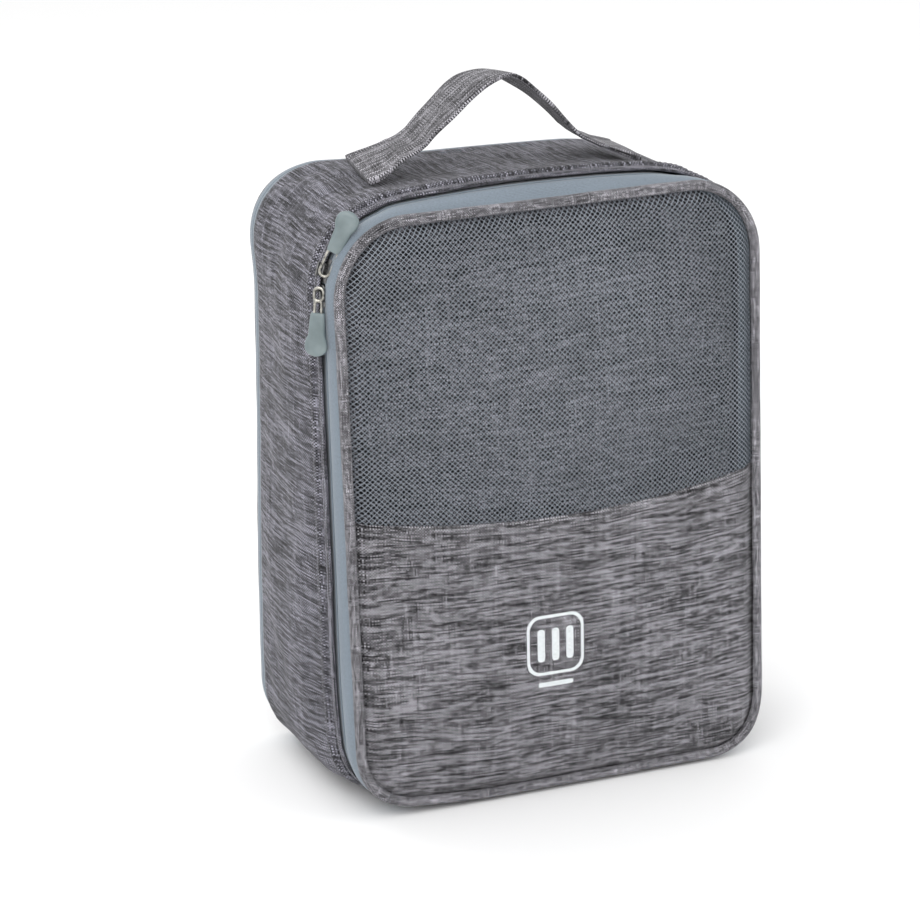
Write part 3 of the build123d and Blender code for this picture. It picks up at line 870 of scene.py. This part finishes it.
# ---- Bindings: a bias strip folded round each flap's edge ----
def binding(name, centre_y, facing, body, node):
    """facing is -1 for the front flap, whose bound edge looks towards -Y."""
    half_out, half_deep = 2.75 * MM, 2.7 * MM
    p, n, s = outline(half_width - binding_high.x + 3 * MM, 2.2 * MM, True)
    # Its lowest run follows the hinge line, which is a little above the outline.
    p[:, 1] = np.maximum(p[:, 1], binding_low.z + 3 * MM)
    # The strip's two raw edges lie inside, under the skin.
    angle = np.radians(np.linspace(-168, 168, 21))
    # A rolled edge: fuller outside, pinched where it is sewn to the skin on its inner side.
    out = half_out * np.cos(angle) * (1 - 0.10 * np.cos(2 * angle))
    depth = half_deep * np.sin(angle)
    wob = (0.10 * MM * np.sin(s / (17 * MM)) + 0.07 * MM * np.sin(s / (5.3 * MM)))[:, None]
    O = out + wob * np.cos(angle)
    Y = centre_y + depth + 0.5 * wob
    grid = xyz(p[:, :1] + n[:, :1] * O, Y, p[:, 1:] + n[:, 1:] * O)
    cloth = np.stack(np.broadcast_arrays(s[:, None], (angle * 2.9 * MM)[None]), axis=-1)
    obj = sweep(name, grid, cloth, binding_cloth, closed_path=True, closed_section=False)
    stands_for(obj, body, [node])
    # A row of stitches holds its inner edge.
    a = math.radians(140)
    line_out = half_out * math.cos(a) * 1.02
    line_y = centre_y + facing * (half_deep * math.sin(a) + 0.12 * MM)
    line = xyz(p[:, 0] + n[:, 0] * line_out, line_y, p[:, 1] + n[:, 1] * line_out)
    centres, direction, _ = along_path(np.vstack([line, line[:1]]), 3.2 * MM)
    up = np.tile(np.array([[0.0, facing * 1.0, 0.0]]), (len(centres), 1))
    stitches(name + "_stitches", centres, direction, up, 2.4 * MM, body, 0.17 * MM)


binding("front_edge_binding", (binding_low.y + binding_high.y) / 2, -1, "front_flap", "front_binding")
binding("rear_edge_binding", (rear_binding_low.y + rear_binding_high.y) / 2, 1, "rear_flap", "rear_binding")


# ---- Skins of the flaps ----
def region(z_values, half, low, high, r_low, r_high, columns):
    """A grid of X and Z over a rounded frame, between two heights."""
    z = np.asarray(z_values)
    width = np.full_like(z, half)
    d_low, d_high = np.clip((low + r_low) - z, 0, r_low), np.clip(z - (high - r_high), 0, r_high)
    width = width - (r_low - np.sqrt(np.maximum(r_low**2 - d_low**2, 0)))
    width = width - (r_high - np.sqrt(np.maximum(r_high**2 - d_high**2, 0)))
    u = np.linspace(-1, 1, columns)
    return width[:, None] * u[None], np.repeat(z[:, None], columns, 1)


def rounded_rows(low, high, r_low, r_high, spacing):
    """Heights that are closer together round the corners of a frame."""
    rows = []
    if r_low:
        rows += list(low + r_low * (1 - np.cos(np.linspace(0, np.pi / 2, 12))))
    else:
        rows.append(low)
    top = high - r_high
    start = rows[-1]
    rows += list(np.linspace(start, top, max(2, int((top - start) / spacing)))[1:])
    if r_high:
        rows += list(top + r_high * np.sin(np.linspace(0, np.pi / 2, 12)))[1:]
    return np.array(rows)


boundary_z = net_low.z


def lift_of_hem(x):
    """The top edge of the lower panel rises a little towards the bag's sides."""
    return 7.5 * MM * np.abs(np.asarray(x) / panel_half) ** 2.2


def lower_panel():
    rows = rounded_rows(skin_low, boundary_z, skin_round_bottom, 0, 2.6 * MM)
    X, Z = region(rows, panel_half, skin_low, skin_high, skin_round_bottom, skin_round_top, 84)
    share = (Z - skin_low) / (boundary_z - skin_low)
    Zl = Z + lift_of_hem(X) * ramp(share, 0.3, 1.0)
    grid = front_point(X, Zl, 0.25 * MM * ramp(share, 0.0, 0.1))
    cloth = np.stack([X, Zl], axis=-1)
    obj = thin("lower_panel_cloth", grid[:, ::-1], cloth[:, ::-1], 0.7 * MM, front_cloth)
    stands_for(obj, "front_flap", ["front_lower_panel"])
    # Its top edge is turned over once: a low, soft double layer above the panel.
    x = np.linspace(-panel_half + 1 * MM, panel_half - 1 * MM, 120)
    loop = [(-9.0, 0.25), (-8.6, 0.5), (-6, 0.62), (-3, 0.66), (-1.0, 0.66), (-0.2, 0.5), (0.15, 0.15),
            (-0.1, -0.3), (-1.0, -0.5), (-6, -0.5), (-9.0, -0.4)]
    loop = np.array(loop) * MM
    XX = np.repeat(x[:, None], len(loop), 1)
    up = np.repeat(loop[None, :, 0], len(x), 0)
    out = np.repeat(loop[None, :, 1], len(x), 0)
    base = front_point(XX, boundary_z + lift_of_hem(XX) + up, 0.25 * MM)
    base[..., 1] -= out
    marks = np.stack([XX, boundary_z + up - 9 * MM], axis=-1)
    hem = sweep("panel_hem", base[::-1], marks[::-1], front_cloth)
    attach(hem, "front_flap")


lower_panel()


def net():
    """The window's net: diamond cells of thin raised strands."""
    wide, tall, strand = 2.75 * MM, 2.55 * MM, 0.338 * MM
    half, low, high = panel_half + 0.8 * MM, boundary_z - 3 * MM, skin_high + 0.8 * MM
    # A cell's outer diamond lies on the strands' crossings, its inner one bows outward at mid side.
    a, b = wide / 2, tall / 2
    inner_a, inner_b, bow = a - strand, b - strand, 0.56
    corners = [(1, 0), (0.5, 0.5), (0, 1), (-0.5, 0.5), (-1, 0), (-0.5, -0.5), (0, -1), (0.5, -0.5)]
    outer = [(a * u, b * v) for u, v in corners]
    inner = [(inner_a * u, inner_b * v) if u * v == 0 else (inner_a * 2 * bow * u, inner_b * 2 * bow * v)
             for u, v in corners]
    found, points, faces = {}, [], []

    def corner(x, z, out):
        key = (round(x / MM, 3), round(z / MM, 3), out)
        if key not in found:
            found[key] = len(points)
            points.append((x, z, out))
        return found[key]

    for r in range(int((high - low) / b) + 2):
        z0 = low + r * tall / 2
        for c in range(int(2 * half / wide) + 2):
            x0 = -half + (c + 0.5 * (r % 2)) * wide
            if inside_rounded(np.array(x0), np.array(z0), half, skin_low, high) < 0:
                continue
            o = [corner(x0 + dx, z0 + dz, 1) for dx, dz in outer]
            i = [corner(x0 + dx, z0 + dz, 0) for dx, dz in inner]
            faces += [(o[m], i[m], i[k], o[k]) for k, m in zip(range(8), (1, 2, 3, 4, 5, 6, 7, 0))]
    flat = np.array(points)
    flat[:, 0] = np.clip(flat[:, 0], -half, half)
    place = front_point(flat[:, 0], flat[:, 1])
    hidden = ramp(boundary_z + lift_of_hem(flat[:, 0]) - flat[:, 1], -1.5 * MM, 2.0 * MM)
    place[:, 1] += -flat[:, 2] * 0.22 * MM + 0.1 * MM + 0.5 * MM * hidden
    obj = mesh_piece("window_net", place, faces, flat[:, :2], net_yarn, closed=False)
    stands_for(obj, "front_flap", ["front_mesh_window"])


net()


def rear_skin():
    rows = rounded_rows(skin_low, skin_high, skin_round_bottom, skin_round_top, 3.0 * MM)
    X, Z = region(rows, panel_half, skin_low, skin_high, skin_round_bottom, skin_round_top, 72)
    obj = thin("rear_panel_cloth", rear_point(X, Z), np.stack([X, Z], axis=-1), 0.8 * MM, front_cloth)
    stands_for(obj, "rear_flap", ["rear_panel"])


rear_skin()


def divider():
    low, high = divider_low.z, divider_high.z
    r_low, r_high = 30 * MM, 36 * MM
    rows = rounded_rows(low, high, r_low, r_high, 3.2 * MM)
    X, Z = region(rows, divider_half, low, high, r_low, r_high, 70)
    d = divider_bulge(Z, X)
    grid = xyz(X + d[..., 0], divider_low.y + d[..., 1], Z + d[..., 2])
    cloth = np.stack([X, Z], axis=-1)
    obj = thin("divider_cloth", grid[:, ::-1], cloth[:, ::-1], 1.4 * MM, lining_cloth)
    stands_for(obj, "case", ["divider_panel"])


divider()
inner_out = -(half_width - divider_high.x) / MM - 0.3
trim_line = tape_line(trim_low.y / MM + 0.4, trim_high.y / MM - 0.2, inner_out, inner_out, -0.25)
hoop_sweep("divider_seam_tape", lined(trim_line, 0.5), trim_cloth, "case", "divider_binding")


# ---- Base ----
def base():
    """The base: two layers of fabric over a stiffener, with soft edges."""
    x = np.linspace(base_low.x - 1.0 * MM, base_high.x + 1.0 * MM, 60)
    y_low, y_high = base_low.y + 0.2 * MM, base_high.y - 0.2 * MM
    y = np.concatenate([[y_low], np.linspace(y_low + 1.2 * MM, y_high - 1.2 * MM, 40), [y_high]])
    X, Y = np.meshgrid(x, y, indexing="ij")
    soft = 0.25 * MM * np.sin(X / (23 * MM)) * np.sin(Y / (19 * MM))
    edge = bump(Y - y_low, 6 * MM) + bump(Y - y_high, 6 * MM)
    top = xyz(X, Y, base_high.z - 0.15 * MM - 1.0 * MM * edge + soft)
    under = xyz(X, Y, base_low.z + 0.5 * MM * edge)
    obj = two_sheets("base_cloth", top, under, np.stack([X, Y], axis=-1), side_cloth)
    stands_for(obj, "case", ["base_panel"])


base()


# ---- Strap ----
def smooth_line(knots, count):
    """Evenly spaced points on a smooth curve through the knots (Catmull-Rom)."""
    knots = np.array(knots, float)
    ext = np.vstack([2 * knots[0] - knots[1], knots, 2 * knots[-1] - knots[-2]])
    fine = []
    for k in range(1, len(ext) - 2):
        a, b, c, d = ext[k - 1 : k + 3]
        t = np.linspace(0, 1, 24, endpoint=False)[:, None]
        fine.append(0.5 * (2 * b + (c - a) * t + (2 * a - 5 * b + 4 * c - d) * t**2
                           + (3 * b - a - 3 * c + d) * t**3))
    fine = np.vstack(fine + [knots[-1:]])
    length = distances(fine)
    at = np.linspace(0, length[-1], count)
    return np.stack([np.interp(at, length, fine[:, k]) for k in range(2)], axis=1), at


def strap_edge(knots, count=170):
    """One edge of the strap from (share of its half span, share of its rise) pairs."""
    half_span = right_end_high.x
    foot, top = left_end_low.z + 1.1 * MM, strap_high.z - 1.1 * MM
    return smooth_line([(x * half_span, foot + (top - foot) * h) for x, h in knots], count)


def strap():
    """A folded strap. It is loosely twisted: its front edge peaks higher and falls more steeply."""
    front, at = strap_edge([
        (-1.0, 0.035), (-0.91, 0.06), (-0.80, 0.13), (-0.665, 0.27), (-0.545, 0.46), (-0.34, 0.73),
        (-0.205, 0.885), (-0.10, 0.965), (-0.02, 0.985), (0.055, 0.94), (0.125, 0.855), (0.235, 0.69),
        (0.34, 0.50), (0.43, 0.345), (0.52, 0.235), (0.61, 0.13), (0.73, 0.045), (0.88, -0.02)])
    rear, _ = strap_edge([
        (-0.97, 0.10), (-0.90, 0.14), (-0.81, 0.185), (-0.69, 0.26), (-0.575, 0.41), (-0.44, 0.62),
        (-0.30, 0.82), (-0.20, 0.905), (-0.08, 0.93), (0.03, 0.905), (0.11, 0.84), (0.235, 0.725),
        (0.34, 0.61), (0.42, 0.50), (0.505, 0.35), (0.60, 0.18), (0.71, 0.09), (0.89, 0.05)])
    line = (front + rear) / 2
    tangent = unit(np.gradient(line, axis=0))
    normal = np.stack([-tangent[:, 1], tangent[:, 0]], axis=1)
    centre_y = (strap_low.y + strap_high.y) / 2
    half = (strap_high.y - strap_low.y) / 2
    share = at / at[-1]
    # The ends are folded under, so the strap is thicker there.
    thick = (1.05 + 0.85 * (bump(share, 0.085) + bump(share - 1, 0.085)) ** 0.5) * MM
    # Across the strap: rounded folded edges, a stitch channel inside each, and a slight crown.
    edge = np.array([0.74, 0.78, 0.815, 0.85, 0.90, 0.95, 0.985, 1.0])
    ys = np.concatenate([-edge[::-1], np.linspace(-0.66, 0.66, 15), edge])
    h = np.interp(np.abs(ys), [0, 0.66, 0.74, 0.80, 0.86, 0.93, 0.985, 1.0],
                  [0.90, 0.90, 0.76, 0.66, 0.90, 1.08, 0.66, 0.12])
    w = np.concatenate([ys, ys[::-1]])
    o = np.concatenate([h, -h[::-1]])
    rows, columns = len(line), len(w)
    T, W = np.meshgrid(at, w, indexing="ij")
    arch = np.sin(np.pi * np.clip((share - 0.12) / 0.76, 0, 1))[:, None]
    mixed = (W + 1)[..., None] / 2
    spine = front[:, None] * (1 - mixed) + rear[:, None] * mixed
    ripple = 0.30 * MM * np.sin(T / (8 * MM) + 2.2 * W) + 0.22 * MM * np.sin(T / (3.9 * MM) - 3.1 * W)
    offset = o[None] * thick[:, None] + ripple * (0.35 + 0.65 * (1 - arch)) - 0.7 * MM * arch * W**2
    narrow = 1 - 0.03 * arch
    flare = 1 + 0.10 * bump(share, 0.12)[:, None]
    x = spine[..., 0] + normal[:, :1] * offset
    z = spine[..., 1] + normal[:, 1:] * offset
    y = centre_y + half * W * narrow * flare
    lift = crown(line[:, :1], np.full((rows, columns), centre_y)) * (1 - np.clip(arch * 3, 0, 1))
    grid = xyz(x, y, z + lift)
    cloth = np.stack([T, W * half], axis=-1)
    obj = sweep("strap_cloth", grid, cloth, strap_cloth)
    seams = []
    for sign in (-1, 1):
        k = int(np.argmin(np.abs(ys - sign * 0.80)))
        path = grid[:, k] + xyz(normal[:, 0], 0.0, normal[:, 1]) * 0.12 * MM
        centres, direction, where = along_path(path, 3.0 * MM)
        lean_x, lean_z = np.interp(where, at, normal[:, 0]), np.interp(where, at, normal[:, 1])
        seams.append((centres, direction, xyz(lean_x, 0.0, lean_z)))
    centres, direction, out = (np.vstack([seam[k] for seam in seams]) for k in range(3))
    thread = stitches("strap_stitches", centres, direction, out, 2.2 * MM, None, 0.17 * MM)
    for piece in (obj, thread):
        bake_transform(piece)
    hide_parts("carry_strap", "strap_end_left", "strap_end_right")


strap()


# ---- Stitching on the case ----
def ridge_stitches():
    p, n, s = outline(0.0, 2.0 * MM)
    out = FLAT_OUT + (RIDGE_OUT - FLAT_OUT) * ridge_share(s) + 0.1 * MM + GUSSET_THICK * above_floor(p)
    line = side_point(p, n, s, np.full(len(p), -37.2 * MM), out)
    centres, direction, at = along_path(line, 3.2 * MM)
    up = xyz(np.interp(at, s, n[:, 0]), 0.0, np.interp(at, s, n[:, 1]))
    stitches("ridge_stitches", centres, direction, up, 2.4 * MM, "case", 0.16 * MM)


ridge_stitches()


# ---- The print ----
def rounded_loop(half_w, half_h, radius, per=9):
    """A closed loop round a rounded rectangle, with a point each millimetre."""
    corners = []
    for sx, sz, start in ((1, 1, 0), (-1, 1, 90), (-1, -1, 180), (1, -1, 270)):
        for k in range(per):
            a = math.radians(start + 90 * k / (per - 1))
            corners.append(np.array([sx * (half_w - radius) + radius * math.cos(a),
                                     sz * (half_h - radius) + radius * math.sin(a)]))
    loop = []
    for a, b in zip(corners, corners[1:] + corners[:1]):
        steps = max(1, int(np.linalg.norm(b - a) / (1.0 * MM)))
        loop += [a + (b - a) * t / steps for t in range(steps)]
    return np.array(loop + loop[:1])


def mark():
    """A rounded ring round three upright bars, with a bar below, laid on the bulged panel."""
    size = mark_high.x - mark_low.x
    centre = np.array([(mark_low.x + mark_high.x) / 2, mark_high.z - size / 2])
    points, faces = [], []

    def add_grid(grid, place):
        start = len(points)
        rows, columns = grid.shape[:2]
        points.extend((grid + place).reshape(-1, 2))
        faces.extend(tuple(int(i) + start for i in f[::-1]) for f in grid_faces(rows, columns))

    line_width = 1.5 * MM
    loop = rounded_loop(size / 2, size / 2, 7 * MM)
    shrink = 1 - line_width / (size / 2)
    add_grid(np.stack([loop * (1 + (shrink - 1) * t) for t in (0, 0.5, 1)], axis=1), centre)
    loop = rounded_loop(2.0 * MM, 8.5 * MM, 1.9 * MM)
    bar = np.stack([loop * t for t in (1, 0.66, 0.33, 0.02)], axis=1)
    for offset in (-7.8 * MM, 0, 7.8 * MM):
        add_grid(bar, centre + np.array([offset, 0]))
    loop = rounded_loop(9.5 * MM, 1.2 * MM, 1.1 * MM)
    underline = np.stack([loop * np.array([t**0.3, t]) for t in (1, 0.6, 0.3, 0.02)], axis=1)
    add_grid(underline, np.array([centre[0], mark_low.z + 1.2 * MM]))
    flat = np.array(points)
    place = front_point(flat[:, 0], flat[:, 1], 0.35 * MM)
    obj = mesh_piece("panel_print", place, faces, flat, mark_ink, closed=False)
    stands_for(obj, "front_flap", ["printed_mark"])


mark()

# Each flap skin gets its own copy of its mesh.
for skin in ("lower_panel_cloth", "panel_hem", "window_net", "panel_print"):
    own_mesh(bpy.data.objects[skin])
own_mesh(bpy.data.objects["rear_panel_cloth"])


# ---- Metal and rubber ----
def finish_node(name, material):
    """A CAD shape that stays, with its own finish and eased edges."""
    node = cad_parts[name]
    node.data.materials.clear()
    node.data.materials.append(material)
    edges = node.modifiers.new("soft_edges", "BEVEL")
    edges.width = 0.18 * MM
    edges.segments = 2
    edges.limit_method = "ANGLE"
    edges.harden_normals = True


for zip_name in ("lower", "upper", "rear"):
    finish_node(f"{zip_name}_slider", slider_metal)
finish_node("zip_end_stops", metal_plate)


def wire_loop(start, along, across, length, width, wire, count=44):
    """Points and faces of a closed wire loop whose first bend is at start."""
    normal = np.cross(along, across)
    angle = np.arange(count) * 2 * np.pi / count
    straight = max(length - width, 0) / 2
    r = width / 2 - wire
    u = length / 2 - wire + np.cos(angle) * r + np.sign(np.cos(angle)) * straight
    v = np.sin(angle) * r
    path = start + wire * along + np.outer(u, along) + np.outer(v, across)
    side = np.cross(unit(np.roll(path, -1, axis=0) - np.roll(path, 1, axis=0)), normal)
    ring = np.arange(10) * 2 * np.pi / 10
    rings = path[:, None] + wire * (side[:, None] * np.cos(ring)[:, None] + normal * np.sin(ring)[:, None])
    return rings.reshape(-1, 3), grid_faces(count, 10, True, True)


def grip_shape(start, along, across, length):
    """A moulded tab: a neck, a notch at each side, and a broad round tip. Its faces are slightly dished."""
    normal = np.cross(along, across)
    t = np.concatenate([[0.0, 0.012, 0.04], np.linspace(0.09, 0.93, 30), [0.965, 0.985, 0.997]])
    half = np.interp(t, [0, 0.04, 0.10, 0.38, 0.46, 0.52, 0.60, 0.70, 0.80, 0.88, 0.94, 0.98, 1.0],
                     [3.0, 3.45, 3.6, 3.95, 4.0, 4.05, 4.9, 5.45, 5.5, 4.95, 3.9, 2.2, 0.5]) * MM
    thick = np.interp(t, [0, 0.012, 0.05, 0.12, 0.9, 0.97, 1.0], [0.7, 1.05, 1.35, 1.5, 1.5, 1.1, 0.45]) * MM
    angle = np.linspace(0, 2 * np.pi, 32, endpoint=False)
    c, q = np.cos(angle), np.sin(angle)
    u = np.sign(c) * np.abs(c) ** 0.55
    v = np.sign(q) * np.abs(q) ** 0.75
    dish = 1 - 0.16 * bump(u, 0.62)[None] * bump(t - 0.5, 0.55)[:, None]
    rings = (
        start + (t * length)[:, None, None] * along
        + (half[:, None] * u[None])[..., None] * across
        + (thick[:, None] * v[None] * dish)[..., None] * normal
    )
    faces = [tuple(f) for f in grid_faces(len(t), 32, False, True)]
    faces += [tuple(range(32)), tuple((len(t) - 1) * 32 + k for k in reversed(range(32)))]
    return rings.reshape(-1, 3), faces


def pull(side, body, start, along, across, ring, stem):
    """A zip pull: wire, then a rubber grip moulded over its end.

    ring and stem are (start, length, width) of its wires along the pull, in millimetres.
    """
    along = np.array(along) / np.linalg.norm(along)
    across = np.array(across, float) - along * (along @ np.array(across, float))
    across /= np.linalg.norm(across)
    points, faces = [], []
    for begin, length, width in (ring, stem):
        if length:
            p, f = wire_loop(start + along * begin * MM, along, across, length * MM, width * MM, 0.72 * MM)
            faces.append(f + sum(len(q) for q in points))
            points.append(p)
    wire = mesh_piece(f"{side}_zip_wire", np.vstack(points), np.vstack(faces), None, metal_plate, soft=False)
    stands_for(wire, body, [f"{side}_pull_loop"])
    p, f = grip_shape(start + along * 12.4 * MM, along, across, 20.6 * MM)
    grip = mesh_piece(f"{side}_zip_grip", p, f, None, pull_rubber, soft=False)
    stands_for(grip, body, [f"{side}_pull_grip"])


def node_middle(name):
    low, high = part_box(name)
    return (np.array(low) + np.array(high)) / 2


lower_bail, upper_bail, rear_bail = (node_middle(f"{k}_slider") for k in ("lower", "upper", "rear"))
# The two front pulls hang twisted a little towards the front.
pull("lower", "lower_zip_pull", lower_bail + np.array([-3.1, -2.6, 5.2]) * MM, (-0.10, -0.03, -1.0),
     (0.80, -0.60, 0), (0, 7.6, 5.8), (6.0, 8.6, 4.8))
pull("upper", "upper_zip_pull", upper_bail + np.array([-4.1, -4.0, -1.6]) * MM, (0.44, -0.05, 0.88),
     (0.76, -0.45, -0.41), (0, 14.4, 6.4), (0, 0, 0))
pull("rear", "rear_zip_pull", rear_bail + np.array([3.0, 0.0, 0.6]) * MM, (0.05, 0.0, -1.0),
     (0, 1, 0), (0, 8.4, 5.8), (7.0, 8.6, 4.6))


# ---- Floor, light and camera ----
floor_mesh = bpy.data.meshes.new("floor")
reach = 6.0
corners = [(-reach, -reach, 0), (reach, -reach, 0), (reach, reach, 0), (-reach, reach, 0)]
floor_mesh.from_pydata(corners, [], [(0, 1, 2, 3)])
floor = collection_link(bpy.data.objects.new("floor", floor_mesh))
floor.location.z = cad_low.z - 0.0004
floor.data.materials.append(floor_paint("floor_paint"))

world = bpy.data.worlds.new("studio")
bpy.context.scene.world = world
world.use_nodes = True
world.node_tree.nodes["Background"].inputs[0].default_value = (1, 1, 1, 1)
world.node_tree.nodes["Background"].inputs[1].default_value = 1.0


def area_light(name, place, target, size, power):
    light = bpy.data.lights.new(name, "AREA")
    light.shape = "RECTANGLE"
    light.size, light.size_y = size
    light.energy = power
    obj = collection_link(bpy.data.objects.new(name, light))
    obj.location = place
    obj.rotation_euler = (Vector(target) - Vector(place)).to_track_quat("-Z", "Y").to_euler()


middle = (0, 0, height / 2)
area_light("key", (-0.9, -1.3, 1.5), middle, (1.2, 1.2), 16)
area_light("fill", (1.6, -1.2, 0.8), middle, (1.4, 1.4), 6)
area_light("rim", (-0.6, 1.5, 1.4), middle, (1.2, 0.8), 8)

bpy.context.scene.view_settings.view_transform = "Standard"
bpy.context.scene.view_settings.look = "None"

# The camera stands to the front left, a little above the bag, and looks down at it.
camera_place = (-0.5654, -1.3102, 0.5888)
yaw, pitch, roll = (math.radians(a) for a in (22.36, 16.99, -0.92))
forward = Vector((math.sin(yaw) * math.cos(pitch), math.cos(yaw) * math.cos(pitch), -math.sin(pitch)))
right = Vector((math.cos(yaw), -math.sin(yaw), 0))
up = right.cross(forward)
turned_right = right * math.cos(roll) + up * math.sin(roll)
turned_up = -right * math.sin(roll) + up * math.cos(roll)
lens = bpy.data.cameras.new("camera")
lens.lens = 116.76
lens.sensor_width = 36
lens.clip_start, lens.clip_end = 0.05, 50
camera = collection_link(bpy.data.objects.new("camera", lens))
turn = Matrix((turned_right, turned_up, -forward)).transposed().to_4x4()
camera.matrix_world = Matrix.Translation(camera_place) @ turn
bpy.context.scene.camera = camera
